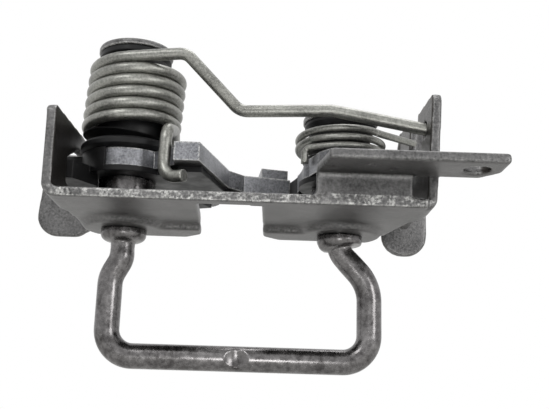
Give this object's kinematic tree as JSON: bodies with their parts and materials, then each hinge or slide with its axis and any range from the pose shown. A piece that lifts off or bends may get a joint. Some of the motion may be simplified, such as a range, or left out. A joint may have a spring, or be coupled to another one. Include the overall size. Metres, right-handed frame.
{
  "type": "hood latch",
  "caption": "Folded steel vehicle hood latch with ratchet and pawl on two pins, torsion springs, moulded covers and a round bar guard loop.",
  "frame": {"origin": "midway between the two ear bolt holes, on the face of the ears that is bolted up", "axes": "+X across the latch towards the pawl, +Y out of the ears' mounting face, +Z towards the springs"},
  "size_m": [0.1483, 0.089, 0.1084],
  "materials": {
    "zinc_sheet": "zinc plated, fine mottled grain",
    "zinc_steel": "zinc plated, sheared edges",
    "bar_steel": "smooth drawn bar",
    "spring_steel": "zinc plated wire",
    "black_plastic": "moulded, satin"
  },
  "bodies": {
    "base": {"base_plate": "zinc_sheet", "guard_loop": "bar_steel", "ratchet_spacer": "bar_steel", "pawl_spacer": "bar_steel", "ratchet_bush": "black_plastic", "pawl_bush": "black_plastic", "ratchet_cap": "zinc_sheet", "pawl_cap": "zinc_sheet", "ratchet_spring": "spring_steel", "pawl_spring": "spring_steel"},
    "ratchet": {"ratchet_plate": "zinc_steel", "ratchet_cover": "black_plastic"},
    "pawl": {"pawl_plate": "zinc_steel", "pawl_cover": "black_plastic"}
  },
  "joints": [
    {"name": "ratchet_pivot", "type": "hinge", "parent": "base", "child": "ratchet", "pos_m": [-0.0352, -0.029, 0.0025], "axis": [0, 0, 1], "range_deg": [-45, 0], "stiffness_Nm_per_rad": 0.5, "springref_deg": 68.75, "deforming": ["ratchet_spring"]},
    {"name": "pawl_pivot", "type": "hinge", "parent": "base", "child": "pawl", "pos_m": [0.0352, -0.029, 0.0025], "axis": [0, 0, 1], "range_deg": [-15, 0], "stiffness_Nm_per_rad": 0.3, "springref_deg": 51.57, "deforming": ["pawl_spring"]}
  ]
}
